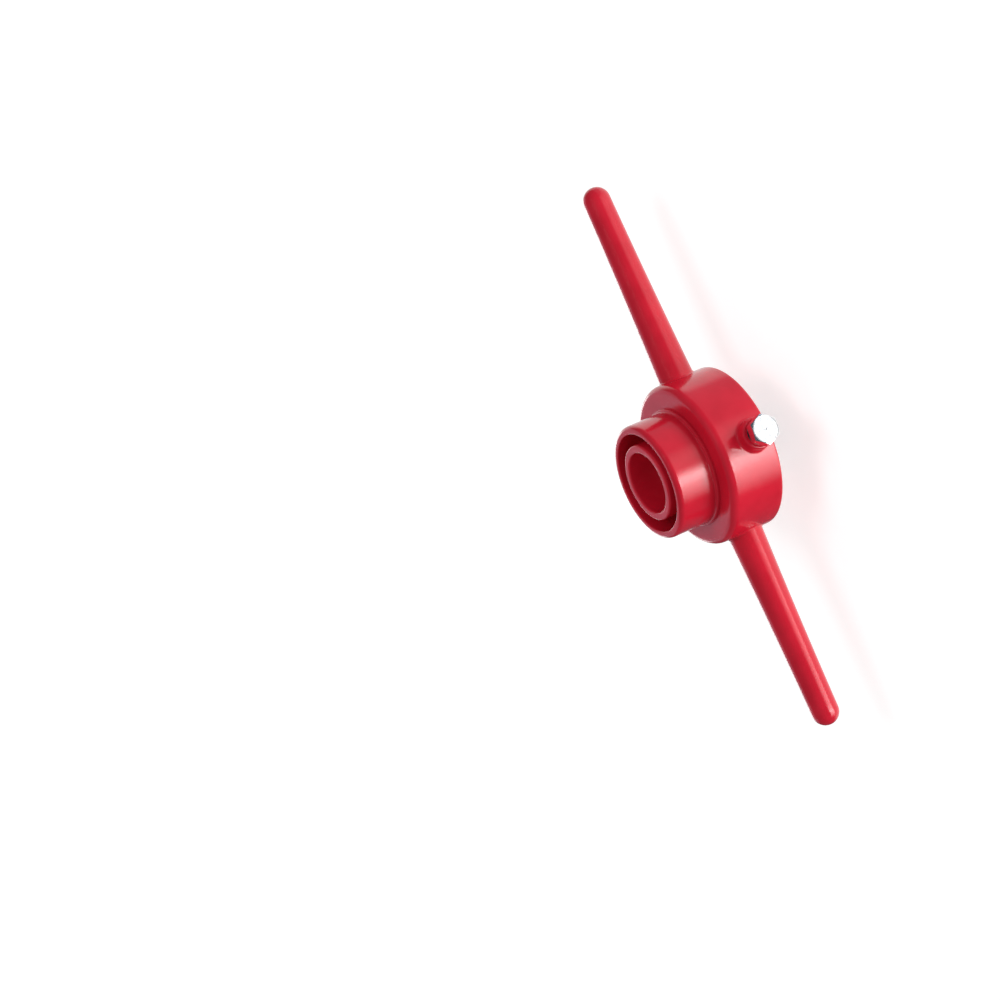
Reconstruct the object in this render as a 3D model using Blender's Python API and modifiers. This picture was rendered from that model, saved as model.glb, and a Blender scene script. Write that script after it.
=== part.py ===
"""Hand die stock for threading 3/4 inch plastic pipe, in metres.

The pipe's axis is upright. The rear face of the hub lies on z = 0 and the pipe enters from the top, through
the guide. The handles lie along X, and the bolt that locks the die points along -Y. Everything is modelled
with the pipe's axis on Z, and moved along Y at the end so that the tool's outer box is centred on the origin.
"""

import math

import bmesh
import bpy
from mathutils import Matrix, Vector

# Clearance between pieces that touch
GAP = 0.0003

# The pipe that the tool threads, 3/4 inch nominal
PIPE_RADIUS = 0.01335
PIPE_PLAY = 0.00015

# Guide sleeve for the pipe, inside the barrel
GUIDE_WALL = 0.0035
GUIDE_LIP = 0.0008
GUIDE_ROUND = 0.0010
COLLAR_THICKNESS = 0.0020

# Barrel in front of the hub, with a deep round recess between it and the guide
RECESS_WIDTH = 0.0050
RECESS_DEPTH = 0.0160
RECESS_LIP = 0.0005
BARREL_WALL = 0.0034
BARREL_LENGTH = 0.0194
BARREL_ROUND = 0.0022
FOOT_STEP = 0.0011
FOOT_HEIGHT = 0.0015
FOOT_ROUND = 0.0006
SPIGOT_STEP = 0.0024

# Round die, a standard blank of 16 mm whose rim makes it 55 mm across
DIE_RIM = 0.00554
DIE_THICKNESS = 0.0160
DIE_SETBACK = 0.0005
DIE_EDGE = 0.0008
CHIP_HOLES = 6
CHIP_HOLE_RADIUS = 0.0055
CHIP_BREAK_IN = 0.0011
DIMPLES = 3
DIMPLE_RADIUS = 0.0028
DIMPLE_DEPTH = 0.0020

# Thread of the die: 14 turns to the inch, with a cone at both faces that starts the cut
THREAD_PITCH = 0.0254 / 14
THREAD_DEPTH = 0.00116
THREAD_UNDERSIZE = 0.00013
THREAD_CREST_SHARE = 0.25
THREAD_ROOT_SHARE = 0.62
LEAD_OVERSIZE = 0.0006
LEAD_LENGTH = 0.0034

# Hub: the thick round body that carries everything
HUB_WALL = 0.0082
HUB_THICKNESS = 0.0258
HUB_FRONT_ROUND = 0.0034
HUB_REAR_ROUND = 0.0010
SHOULDER_THICKNESS = 0.0030
SOCKET_LIP = 0.0006
DRILL_PAST = 0.0012

# Handles
HANDLE_REACH = 0.1250
HANDLE_HEIGHT = 0.0122
HANDLE_ROOT_RADIUS = 0.0077
HANDLE_TIP_RADIUS = 0.0060
HANDLE_HOLLOW = 0.00025
HANDLE_SINK = 0.0015
STUD_RADIUS = 0.0050
STUD_CHAMFER = 0.0008

# Lock bolt, M8 with a small 12 mm hexagon head that stands off from the boss that it goes through
BOLT_RADIUS = 0.0040
BOLT_FLATS = 0.0120
BOLT_HEAD_HEIGHT = 0.0048
BOLT_HEAD_TURN = math.radians(24)
BOLT_STANDOFF = 0.0028
BOLT_CHAMFER_ANGLE = math.radians(30)
BOLT_FACE_THICKNESS = 0.0004
BOLT_FACE_INSET = 0.0003
BOLT_POINT_LENGTH = 0.0018
BOLT_POINT_RADIUS = 0.0022
BOSS_RADIUS = 0.0070
BOSS_HEIGHT = 0.0055
BOSS_FOOT_ROUND = 0.0010
BOSS_TOP_ROUND = 0.0008

# Facets
RING_STEPS = 60
SLEEVE_STEPS = 52
ROD_STEPS = 32
THREAD_STEPS = 60
ARC_STEPS = 5
TURN_ASIDE = math.radians(2)

# Sizes and places that follow from the ones above
PIPE_BORE_RADIUS = PIPE_RADIUS + PIPE_PLAY
GUIDE_RADIUS = PIPE_BORE_RADIUS + GUIDE_WALL
GUIDE_HOLE_RADIUS = GUIDE_RADIUS + GAP
RECESS_RADIUS = GUIDE_RADIUS + RECESS_WIDTH
COLLAR_RADIUS = RECESS_RADIUS - GAP
BARREL_RADIUS = RECESS_RADIUS + BARREL_WALL
FOOT_RADIUS = BARREL_RADIUS + FOOT_STEP
SPIGOT_RADIUS = BARREL_RADIUS - SPIGOT_STEP
THREAD_MAJOR_RADIUS = PIPE_RADIUS - THREAD_UNDERSIZE
THREAD_MINOR_RADIUS = THREAD_MAJOR_RADIUS - THREAD_DEPTH
LEAD_MOUTH_RADIUS = PIPE_RADIUS + LEAD_OVERSIZE
CHIP_CIRCLE_RADIUS = THREAD_MINOR_RADIUS + CHIP_HOLE_RADIUS - CHIP_BREAK_IN
DIE_RADIUS = CHIP_CIRCLE_RADIUS + CHIP_HOLE_RADIUS + DIE_RIM
SOCKET_RADIUS = DIE_RADIUS + GAP
SOCKET_DEPTH = DIE_SETBACK + DIE_THICKNESS + GAP
LOCK_HEIGHT = DIE_SETBACK + DIE_THICKNESS / 2
HUB_RADIUS = SOCKET_RADIUS + HUB_WALL
SPIGOT_SEAT = SOCKET_DEPTH + SHOULDER_THICKNESS
BARREL_TOP = HUB_THICKNESS + BARREL_LENGTH
RECESS_FLOOR = BARREL_TOP - RECESS_DEPTH
HANDLE_SEAT = HUB_RADIUS - HANDLE_SINK
STUD_END = SOCKET_RADIUS + 2 * GAP
BOSS_TOP = HUB_RADIUS + BOSS_HEIGHT
BOLT_SEAT = BOSS_TOP + BOLT_STANDOFF
CENTRING_SHIFT = (BOLT_SEAT + BOLT_HEAD_HEIGHT - HUB_RADIUS) / 2

RED = (0.62, 0.012, 0.030, 1.0)
ZINC = (0.78, 0.79, 0.80, 1.0)
TOOL_STEEL = (0.42, 0.42, 0.43, 1.0)


def clear_scene():
    for old in list(bpy.data.objects):
        bpy.data.objects.remove(old, do_unlink=True)


def make_collection(name):
    collection = bpy.data.collections.new(name)
    bpy.context.scene.collection.children.link(collection)
    return collection


def make_material(name, colour, roughness, metallic):
    material = bpy.data.materials.new(name)
    material.use_nodes = True
    shader = material.node_tree.nodes["Principled BSDF"]
    shader.inputs["Base Color"].default_value = colour
    shader.inputs["Roughness"].default_value = roughness
    shader.inputs["Metallic"].default_value = metallic
    return material


def arc(centre_r, centre_z, radius, start, end):
    """Points of a round edge in the profile plane. Angles in degrees, 0 along +r and 90 along +z."""
    points = []
    for i in range(ARC_STEPS + 1):
        angle = math.radians(start + (end - start) * i / ARC_STEPS)
        points.append((centre_r + radius * math.cos(angle), centre_z + radius * math.sin(angle)))
    return points


def profile_mesh(name, points, closed):
    """A line of (radius, height) points in the XZ plane, ready to be turned round Z."""
    mesh = bpy.data.meshes.new(name)
    count = len(points)
    edges = [(i, (i + 1) % count) for i in range(count if closed else count - 1)]
    mesh.from_pydata([(r, 0.0, z) for r, z in points], edges, [])
    return mesh


def turned(name, points, collection, material=None, steps=RING_STEPS, closed=True):
    """Turns a profile round Z. A closed profile makes a ring, an open one starts and ends on the axis."""
    piece = bpy.data.objects.new(name, profile_mesh(name, points, closed))
    collection.objects.link(piece)
    screw = piece.modifiers.new("turn", "SCREW")
    screw.axis = "Z"
    screw.angle = math.tau
    screw.steps = steps
    screw.render_steps = steps
    screw.use_merge_vertices = True
    screw.merge_threshold = 0.00001
    screw.use_smooth_shade = True
    if material:
        piece.data.materials.append(material)
    return piece


def apply_modifiers(piece):
    """Bakes the modifiers into the mesh and shades its round faces smooth."""
    graph = bpy.context.evaluated_depsgraph_get()
    baked = bpy.data.meshes.new_from_object(piece.evaluated_get(graph), depsgraph=graph)
    baked.name = piece.name
    piece.modifiers.clear()
    piece.data = baked
    baked.shade_smooth()
    baked.set_sharp_from_angle(angle=math.radians(32))


def as_cutter(piece):
    piece.hide_render = True
    piece.display_type = "WIRE"
    return piece


def rod_cutter(name, radius, length, place, turn, collection, end_radius=None):
    """A cylinder or cone along its local Z, centred on its place. It is turned a little about itself, so that
    its facets never line up with those of the piece that it cuts."""
    mesh = bpy.data.meshes.new(name)
    shape = bmesh.new()
    bmesh.ops.create_cone(
        shape,
        cap_ends=True,
        segments=ROD_STEPS,
        radius1=radius,
        radius2=radius if end_radius is None else end_radius,
        depth=length,
    )
    shape.to_mesh(mesh)
    shape.free()
    cutter = bpy.data.objects.new(name, mesh)
    collection.objects.link(cutter)
    cutter.matrix_world = Matrix.Translation(place) @ turn @ Matrix.Rotation(TURN_ASIDE, 4, "Z")
    return as_cutter(cutter)


def join_or_cut(piece, other, operation):
    boolean = piece.modifiers.new(other.name, "BOOLEAN")
    boolean.operation = operation
    boolean.solver = "EXACT"
    boolean.object = other


def facing(direction):
    """The turn that lays local Z along a direction."""
    return Vector(direction).to_track_quat("Z", "Y").to_matrix().to_4x4()


def make_boss(cutters):
    """Boss on the hub's side for the lock bolt, with a foot that follows the round side."""
    foot_radius = BOSS_RADIUS + BOSS_FOOT_ROUND
    root = HUB_RADIUS - HUB_FRONT_ROUND
    points = [(0.0, BOSS_TOP)]
    points += arc(BOSS_RADIUS - BOSS_TOP_ROUND, BOSS_TOP - BOSS_TOP_ROUND, BOSS_TOP_ROUND, 90, 0)
    points += arc(foot_radius, HUB_RADIUS + BOSS_FOOT_ROUND, BOSS_FOOT_ROUND, 180, 270)
    points += [(foot_radius, root), (0.0, root)]
    boss = turned("boss", points, cutters, steps=ROD_STEPS, closed=False)
    apply_modifiers(boss)
    for vertex in boss.data.vertices:
        above = (vertex.co.z - HUB_RADIUS) / BOSS_HEIGHT
        share = 1.0 - min(max(above, 0.0), 1.0)
        drop = HUB_RADIUS - math.sqrt(HUB_RADIUS**2 - vertex.co.x**2)
        vertex.co.z -= drop * share
    boss.matrix_world = Matrix.Translation((0.0, 0.0, LOCK_HEIGHT)) @ facing((0.0, -1.0, 0.0))
    return as_cutter(boss)


def make_hub(parts, cutters, paint):
    """Round body: die socket behind, seat for the barrel in front, sockets for the handles and the bolt."""
    seat_radius = SPIGOT_RADIUS + GAP
    points = [(seat_radius, HUB_THICKNESS)]
    points += arc(HUB_RADIUS - HUB_FRONT_ROUND, HUB_THICKNESS - HUB_FRONT_ROUND, HUB_FRONT_ROUND, 90, 0)
    points += arc(HUB_RADIUS - HUB_REAR_ROUND, HUB_REAR_ROUND, HUB_REAR_ROUND, 0, -90)
    points += [
        (SOCKET_RADIUS + SOCKET_LIP, 0.0),
        (SOCKET_RADIUS, SOCKET_LIP),
        (SOCKET_RADIUS, SOCKET_DEPTH),
        (GUIDE_HOLE_RADIUS, SOCKET_DEPTH),
        (GUIDE_HOLE_RADIUS, SPIGOT_SEAT),
        (seat_radius, SPIGOT_SEAT),
    ]
    hub = turned("stock_hub", points, parts, paint)
    join_or_cut(hub, make_boss(cutters), "UNION")
    drilled_from = SOCKET_RADIUS - DRILL_PAST
    for side, name in ((1, "right"), (-1, "left")):
        outward = facing((side, 0.0, 0.0))
        seat = rod_cutter(
            "handle_seat_" + name,
            HANDLE_ROOT_RADIUS + GAP,
            2 * HANDLE_SINK,
            (side * HUB_RADIUS, 0.0, HANDLE_HEIGHT),
            outward,
            cutters,
        )
        hole = rod_cutter(
            "stud_hole_" + name,
            STUD_RADIUS + GAP,
            HUB_RADIUS - drilled_from,
            (side * (HUB_RADIUS + drilled_from) / 2, 0.0, HANDLE_HEIGHT),
            outward,
            cutters,
        )
        join_or_cut(hub, seat, "DIFFERENCE")
        join_or_cut(hub, hole, "DIFFERENCE")
    drilled_to = BOSS_TOP + DRILL_PAST
    bolt_hole = rod_cutter(
        "bolt_hole",
        BOLT_RADIUS + GAP,
        drilled_to - drilled_from,
        (0.0, -(drilled_to + drilled_from) / 2, LOCK_HEIGHT),
        facing((0.0, -1.0, 0.0)),
        cutters,
    )
    join_or_cut(hub, bolt_hole, "DIFFERENCE")
    apply_modifiers(hub)
    return hub


def handle_radius(share):
    """Radius of a handle from its root, share 0, to its tip, share 1, with a slightly hollow taper."""
    straight = HANDLE_ROOT_RADIUS + (HANDLE_TIP_RADIUS - HANDLE_ROOT_RADIUS) * share
    return straight - 4 * HANDLE_HOLLOW * share * (1 - share)


def make_handle(name, side, parts, paint):
    """Tapered round bar with a domed tip and a threaded stud that goes into the hub."""
    seat = HANDLE_SEAT + GAP
    dome = HANDLE_REACH - seat - HANDLE_TIP_RADIUS
    stud_end = STUD_END - seat
    points = arc(0.0, dome, HANDLE_TIP_RADIUS, 90, 0)
    points[0] = (0.0, dome + HANDLE_TIP_RADIUS)
    taper_steps = 2 * ARC_STEPS
    for i in range(1, taper_steps + 1):
        height = dome * (1 - i / taper_steps)
        points.append((handle_radius(height / dome), height))
    points += [
        (STUD_RADIUS, 0.0),
        (STUD_RADIUS, stud_end + STUD_CHAMFER),
        (STUD_RADIUS - STUD_CHAMFER, stud_end),
        (0.0, stud_end),
    ]
    handle = turned(name, points, parts, paint, steps=ROD_STEPS, closed=False)
    apply_modifiers(handle)
    handle.matrix_world = Matrix.Translation((side * seat, 0.0, HANDLE_HEIGHT)) @ facing((side, 0.0, 0.0))
    return handle


def make_barrel(parts, paint):
    """Barrel with a low foot on the hub's face, a spigot inside the hub and a deep round recess."""
    spigot_end = SPIGOT_SEAT + GAP
    foot = HUB_THICKNESS + GAP
    foot_top = HUB_THICKNESS + FOOT_HEIGHT
    points = [(RECESS_RADIUS + RECESS_LIP, BARREL_TOP)]
    points += arc(BARREL_RADIUS - BARREL_ROUND, BARREL_TOP - BARREL_ROUND, BARREL_ROUND, 90, 0)
    points += [(BARREL_RADIUS, foot_top)]
    points += arc(FOOT_RADIUS - FOOT_ROUND, foot_top - FOOT_ROUND, FOOT_ROUND, 90, 0)
    points += [
        (FOOT_RADIUS, foot),
        (SPIGOT_RADIUS, foot),
        (SPIGOT_RADIUS, spigot_end),
        (GUIDE_HOLE_RADIUS, spigot_end),
        (GUIDE_HOLE_RADIUS, RECESS_FLOOR),
        (RECESS_RADIUS, RECESS_FLOOR),
        (RECESS_RADIUS, BARREL_TOP - RECESS_LIP),
    ]
    barrel = turned("guide_barrel", points, parts, paint)
    apply_modifiers(barrel)
    return barrel


def make_guide(parts, paint):
    """Sleeve that leads the pipe to the die, with a collar that sits on the floor of the recess."""
    end = SOCKET_DEPTH + GAP
    collar = RECESS_FLOOR + GAP
    points = [(PIPE_BORE_RADIUS + GUIDE_LIP, BARREL_TOP)]
    points += arc(GUIDE_RADIUS - GUIDE_ROUND, BARREL_TOP - GUIDE_ROUND, GUIDE_ROUND, 90, 0)
    points += [
        (GUIDE_RADIUS, collar + COLLAR_THICKNESS),
        (COLLAR_RADIUS, collar + COLLAR_THICKNESS),
        (COLLAR_RADIUS, collar),
        (GUIDE_RADIUS, collar),
        (GUIDE_RADIUS, end),
        (PIPE_BORE_RADIUS, end),
        (PIPE_BORE_RADIUS, BARREL_TOP - GUIDE_LIP),
    ]
    guide = turned("pipe_guide", points, parts, paint, steps=SLEEVE_STEPS)
    apply_modifiers(guide)
    return guide


def thread_profile(low, high):
    """Zigzag of one thread flank after another, from below low to above high."""
    turns = math.ceil((high - low) / THREAD_PITCH) + 3
    half_step = 0.5 / THREAD_STEPS
    points = []
    for i in range(turns):
        start = low + (i - 2 + half_step) * THREAD_PITCH
        points.append((THREAD_MINOR_RADIUS, start))
        points.append((THREAD_MINOR_RADIUS, start + THREAD_CREST_SHARE * THREAD_PITCH))
        points.append((THREAD_MAJOR_RADIUS, start + THREAD_ROOT_SHARE * THREAD_PITCH))
    return points


def make_thread_cutter(low, high, cutters):
    """Plug with a helical thread, cut off flat at both ends."""
    plug = bmesh.new()
    corners = [plug.verts.new((r, 0.0, z)) for r, z in thread_profile(low, high)]
    line = [plug.edges.new(pair) for pair in zip(corners, corners[1:])]
    bmesh.ops.spin(
        plug,
        geom=corners + line,
        cent=(0.0, 0.0, 0.0),
        axis=(0.0, 0.0, 1.0),
        dvec=(0.0, 0.0, THREAD_PITCH / THREAD_STEPS),
        angle=math.tau,
        steps=THREAD_STEPS,
    )
    bmesh.ops.remove_doubles(plug, verts=plug.verts, dist=0.000001)
    for height, way in ((high, 1.0), (low, -1.0)):
        everything = list(plug.verts) + list(plug.edges) + list(plug.faces)
        bmesh.ops.bisect_plane(
            plug, geom=everything, plane_co=(0.0, 0.0, height), plane_no=(0.0, 0.0, way), clear_outer=True
        )
    rim = [edge for edge in plug.edges if edge.is_boundary]
    bmesh.ops.holes_fill(plug, edges=rim)
    bmesh.ops.recalc_face_normals(plug, faces=plug.faces)
    mesh = bpy.data.meshes.new("thread_plug")
    plug.to_mesh(mesh)
    plug.free()
    cutter = bpy.data.objects.new("thread_plug", mesh)
    cutters.objects.link(cutter)
    cutter.rotation_euler.z = math.pi / THREAD_STEPS
    return as_cutter(cutter)


def make_die(parts, cutters, steel):
    """Round die: cutting threads on lands between open chip holes, a lead cone at each face, rim dimples."""
    bottom = DIE_SETBACK
    top = DIE_SETBACK + DIE_THICKNESS
    past = 2 * THREAD_PITCH
    points = [
        (0.0, top),
        (DIE_RADIUS - DIE_EDGE, top),
        (DIE_RADIUS, top - DIE_EDGE),
        (DIE_RADIUS, bottom + DIE_EDGE),
        (DIE_RADIUS - DIE_EDGE, bottom),
        (0.0, bottom),
    ]
    die = turned("round_die", points, parts, steel, closed=False)
    join_or_cut(die, make_thread_cutter(bottom - past, top + past, cutters), "DIFFERENCE")
    slope = (LEAD_MOUTH_RADIUS - THREAD_MINOR_RADIUS) / LEAD_LENGTH
    for name, face, way in (("front_lead", top, 1.0), ("rear_lead", bottom, -1.0)):
        lead = rod_cutter(
            name,
            THREAD_MINOR_RADIUS - slope * past,
            LEAD_LENGTH + 2 * past,
            (0.0, 0.0, face - way * LEAD_LENGTH / 2),
            facing((0.0, 0.0, way)),
            cutters,
            end_radius=LEAD_MOUTH_RADIUS + slope * past,
        )
        join_or_cut(die, lead, "DIFFERENCE")
    for i in range(CHIP_HOLES):
        angle = math.tau * i / CHIP_HOLES
        place = (
            CHIP_CIRCLE_RADIUS * math.cos(angle),
            CHIP_CIRCLE_RADIUS * math.sin(angle),
            (bottom + top) / 2,
        )
        hole = rod_cutter(
            "chip_hole_%d" % (i + 1), CHIP_HOLE_RADIUS, 2 * DIE_THICKNESS, place, Matrix.Identity(4), cutters
        )
        join_or_cut(die, hole, "DIFFERENCE")
    for i in range(DIMPLES):
        angle = math.tau * (i / DIMPLES - 1 / 4)
        outward = Vector((math.cos(angle), math.sin(angle), 0.0))
        place = outward * DIE_RADIUS
        place.z = LOCK_HEIGHT
        dimple = rod_cutter(
            "dimple_%d" % (i + 1),
            0.0,
            2 * DIMPLE_DEPTH,
            place,
            facing(outward),
            cutters,
            end_radius=2 * DIMPLE_RADIUS,
        )
        join_or_cut(die, dimple, "DIFFERENCE")
    apply_modifiers(die)
    return die


def make_bolt(parts, cutters, zinc):
    """Hexagon head bolt along local Z, its origin at the underside of the head."""
    corner = BOLT_FLATS / math.sqrt(3)
    flat = BOLT_FLATS / 2
    top_radius = flat - BOLT_FACE_INSET
    past_corner = corner + BOLT_FACE_INSET
    chamfer_drop = (past_corner - top_radius) * math.tan(BOLT_CHAMFER_ANGLE)
    point_end = SOCKET_RADIUS - BOLT_SEAT
    points = [
        (0.0, BOLT_HEAD_HEIGHT),
        (top_radius, BOLT_HEAD_HEIGHT),
        (past_corner, BOLT_HEAD_HEIGHT - chamfer_drop),
        (past_corner, BOLT_FACE_THICKNESS),
        (flat, BOLT_FACE_THICKNESS),
        (top_radius, 0.0),
        (BOLT_RADIUS, 0.0),
        (BOLT_RADIUS, point_end + BOLT_POINT_LENGTH),
        (BOLT_POINT_RADIUS, point_end),
        (0.0, point_end),
    ]
    bolt = turned("lock_bolt", points, parts, zinc, steps=ROD_STEPS, closed=False)
    prism = bpy.data.meshes.new("hexagon")
    shape = bmesh.new()
    bmesh.ops.create_cone(
        shape, cap_ends=True, segments=6, radius1=corner, radius2=corner, depth=2 * BOLT_SEAT
    )
    bmesh.ops.rotate(shape, verts=shape.verts, cent=(0, 0, 0), matrix=Matrix.Rotation(BOLT_HEAD_TURN, 3, "Z"))
    shape.to_mesh(prism)
    shape.free()
    hexagon = bpy.data.objects.new("hexagon", prism)
    cutters.objects.link(as_cutter(hexagon))
    join_or_cut(bolt, hexagon, "INTERSECT")
    apply_modifiers(bolt)
    bolt.matrix_world = Matrix.Translation((0.0, -BOLT_SEAT, LOCK_HEIGHT)) @ facing((0.0, -1.0, 0.0))
    return bolt


def main():
    clear_scene()
    parts = make_collection("pipe_threading_die_set")
    cutters = make_collection("cutters")
    paint = make_material("red_enamel", RED, 0.28, 0.0)
    zinc = make_material("zinc_plate", ZINC, 0.22, 1.0)
    steel = make_material("tool_steel", TOOL_STEEL, 0.32, 1.0)
    pieces = [
        make_hub(parts, cutters, paint),
        make_handle("handle_right", 1, parts, paint),
        make_handle("handle_left", -1, parts, paint),
        make_barrel(parts, paint),
        make_guide(parts, paint),
        make_die(parts, cutters, steel),
        make_bolt(parts, cutters, zinc),
    ]
    pipe_axis = bpy.data.objects.new("pipe_axis", None)
    parts.objects.link(pipe_axis)
    for piece in pieces:
        piece.parent = pipe_axis
    pipe_axis.location.y = CENTRING_SHIFT


main()
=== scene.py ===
"""Looks of the hand die stock: paint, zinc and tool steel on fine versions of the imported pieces.

Lengths are in metres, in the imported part's own frame.
"""

import math

import bmesh
import bpy
from mathutils import Matrix, Vector


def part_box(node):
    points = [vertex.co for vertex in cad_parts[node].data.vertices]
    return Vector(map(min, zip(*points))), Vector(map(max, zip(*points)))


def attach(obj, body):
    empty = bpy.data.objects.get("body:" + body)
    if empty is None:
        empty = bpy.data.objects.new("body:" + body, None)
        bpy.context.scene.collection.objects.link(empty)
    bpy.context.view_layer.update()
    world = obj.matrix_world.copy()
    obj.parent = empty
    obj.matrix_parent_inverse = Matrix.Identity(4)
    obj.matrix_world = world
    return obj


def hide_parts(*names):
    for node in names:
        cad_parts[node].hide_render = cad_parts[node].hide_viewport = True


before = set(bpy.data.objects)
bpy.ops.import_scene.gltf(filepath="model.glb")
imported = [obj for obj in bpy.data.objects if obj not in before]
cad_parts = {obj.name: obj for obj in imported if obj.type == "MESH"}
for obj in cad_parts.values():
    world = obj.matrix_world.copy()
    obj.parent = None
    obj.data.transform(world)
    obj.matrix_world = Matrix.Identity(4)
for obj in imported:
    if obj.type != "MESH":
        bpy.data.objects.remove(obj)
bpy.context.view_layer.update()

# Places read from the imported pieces
_, hub_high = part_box("stock_hub")
barrel_low, barrel_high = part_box("guide_barrel")
guide_low, guide_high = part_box("pipe_guide")
die_low, die_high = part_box("round_die")
bolt_low, bolt_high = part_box("lock_bolt")
handle_low, handle_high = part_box("handle_right")

AXIS_Y = (barrel_low.y + barrel_high.y) / 2
HUB_RADIUS = hub_high.y - AXIS_Y
HUB_TOP = hub_high.z
BARREL_TOP = barrel_high.z
FOOT_RADIUS = (barrel_high.x - barrel_low.x) / 2
DIE_RADIUS = (die_high.x - die_low.x) / 2
DIE_BOTTOM = die_low.z
DIE_TOP = die_high.z
COLLAR_RADIUS = (guide_high.x - guide_low.x) / 2
GUIDE_END = guide_low.z
HANDLE_REACH = handle_high.x
HANDLE_HEIGHT = (handle_low.z + handle_high.z) / 2
HANDLE_ROOT_RADIUS = (handle_high.z - handle_low.z) / 2
STUD_END = handle_low.x
LOCK_HEIGHT = (bolt_low.z + bolt_high.z) / 2
BOLT_TOP = AXIS_Y - bolt_low.y
BOLT_END = AXIS_Y - bolt_high.y

# Shape
GAP = 0.0003
TOLERANCE = 0.00001
HUB_FRONT_ROUND = 0.0034
HUB_REAR_ROUND = 0.0010
SOCKET_LIP = 0.0006
SHOULDER_THICKNESS = 0.0030
DRILL_PAST = 0.0012
BARREL_WALL = 0.0034
BARREL_ROUND = 0.0022
FOOT_STEP = 0.0011
FOOT_HEIGHT = 0.0015
FOOT_ROUND = 0.0006
FOOT_FILLET = 0.0006
FOOT_LIFT = 0.00002
SPIGOT_STEP = 0.0024
RECESS_DEPTH = 0.0160
RECESS_LIP = 0.0005
RECESS_CORNER = 0.0008
GUIDE_WALL = 0.0035
GUIDE_LIP = 0.0008
GUIDE_ROUND = 0.0010
PIPE_BORE_RADIUS = 0.0135
COLLAR_THICKNESS = 0.0020
COLLAR_FILLET = 0.0008
HANDLE_TIP_RADIUS = 0.0060
HANDLE_HOLLOW = 0.00025
HANDLE_SINK = 0.0015
STUD_RADIUS = 0.0050
STUD_PITCH = 0.0015
STUD_THREAD_DEPTH = 0.0007
NECK_STEP = 0.0005
NECK_LENGTH = 0.0008
BEAD = 0.0007
BEAD_SINK = 0.00002
BOLT_RADIUS = 0.0040
BOLT_PITCH = 0.00125
BOLT_THREAD_DEPTH = 0.00075
BOLT_THREAD_START = 0.9
BOLT_THREAD_SLACK = 0.3
BOLT_FLATS = 0.0120
BOLT_HEAD_HEIGHT = 0.0048
BOLT_HEAD_TURN = math.radians(24)
BOLT_FACE_SHARE = 0.96
BOLT_BLANK_SHARE = 1.04
BOLT_EDGE = 0.0003
HEXAGON_LENGTH = 0.03
BOLT_CHAMFER = math.radians(30)
BOLT_MARK_RADIUS = 0.00045
BOLT_MARK_DEPTH = 0.00036
BOLT_RING_WIDTH = 0.00030
BOLT_RING_FLOOR = 0.00018
BOLT_RING_DEPTH = 0.00022
BOLT_RING_LIP = 0.00004
BOLT_WASHER_FACE = 0.0004
BOLT_POINT = 0.0018
BOLT_POINT_RADIUS = 0.0022
BOLT_CORE_SINK = 0.0002
BOSS_RADIUS = 0.0070
BOSS_HEIGHT = 0.0055
BOSS_FOOT_ROUND = 0.0010
BOSS_TOP_ROUND = 0.0008
THREAD_PITCH = 0.0254 / 14
THREAD_MAJOR_RADIUS = 0.01322
THREAD_MINOR_RADIUS = 0.01206
LEAD_MOUTH_RADIUS = 0.01395
LEAD_LENGTH = 0.0034
CHIP_HOLES = 6
CHIP_HOLE_RADIUS = 0.0055
CHIP_HOLE_LENGTH = 0.04
CHIP_CIRCLE_RADIUS = 0.01646
DIMPLES = 3
DIMPLE_RADIUS = 0.0028
DIMPLE_DEPTH = 0.0020
DIE_EDGE = 0.0008

BARREL_RADIUS = FOOT_RADIUS - FOOT_STEP
RECESS_RADIUS = BARREL_RADIUS - BARREL_WALL
GUIDE_RADIUS = PIPE_BORE_RADIUS + GUIDE_WALL
SOCKET_RADIUS = DIE_RADIUS + GAP
SOCKET_DEPTH = DIE_TOP + GAP
BOSS_TOP = HUB_RADIUS + BOSS_HEIGHT
BOLT_SEAT = BOLT_TOP - BOLT_HEAD_HEIGHT

# Facets
RING_STEPS = 180
ROD_STEPS = 72
HOLE_STEPS = 56
DIMPLE_STEPS = 40
DIE_THREAD_STEPS = 120
STUD_THREAD_STEPS = 40
BOLT_HEAD_STEPS = 96
BEAD_STEPS = 96
BEAD_ARC_STEPS = 6
TAPER_STEPS = 36
ARC_STEPS = 8
SIDE_STEP = 0.0016

# Small turns, and a shift as a share of the pitch, that keep facets out of line with each other where
# one mesh cuts or joins another
ROD_TURN = math.radians(1.3)
PLUG_TURN = math.radians(0.9)
CORE_TURN = math.radians(1.7)
PLUG_SHIFT = 0.0043

# Turns trimmed off a thread's upper end, so that it ends in a whole section
HELIX_TRIM = 1.3

# Camera, floor and studio
CAMERA_RIGHT = Vector((-0.4068, -0.3629, -0.8384))
CAMERA_UP = Vector((0.9130, -0.1924, -0.3597))
CAMERA_BACK = Vector((-0.0308, -0.9118, 0.4096))
CAMERA_PLACE = (-0.09996, -0.02324, 2.0)
CAMERA_LENS = 168.8
FLOOR_HEIGHT = -0.0215
FLOOR_REACH = 6.0
FLOOR_NEAR = 0.5
FLOOR_FAR = 1.3
FLOOR_GLOW_NEAR = 0.56
FLOOR_GLOW_FAR = 0.70
WORLD_LIGHT = 0.45
CARD_FULL_SHARE = 0.7
WALLS_RADIUS = 3.2
WALLS_GLOW = 0.10
WHITE = (1.0, 1.0, 1.0, 1.0)


def arc(centre_r, centre_z, radius, start, end):
    """Points of a round edge. Angles in degrees, 0 along +r and 90 along +z."""
    points = []
    for i in range(ARC_STEPS + 1):
        angle = math.radians(start + (end - start) * i / ARC_STEPS)
        points.append((centre_r + radius * math.cos(angle), centre_z + radius * math.sin(angle)))
    return points


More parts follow.
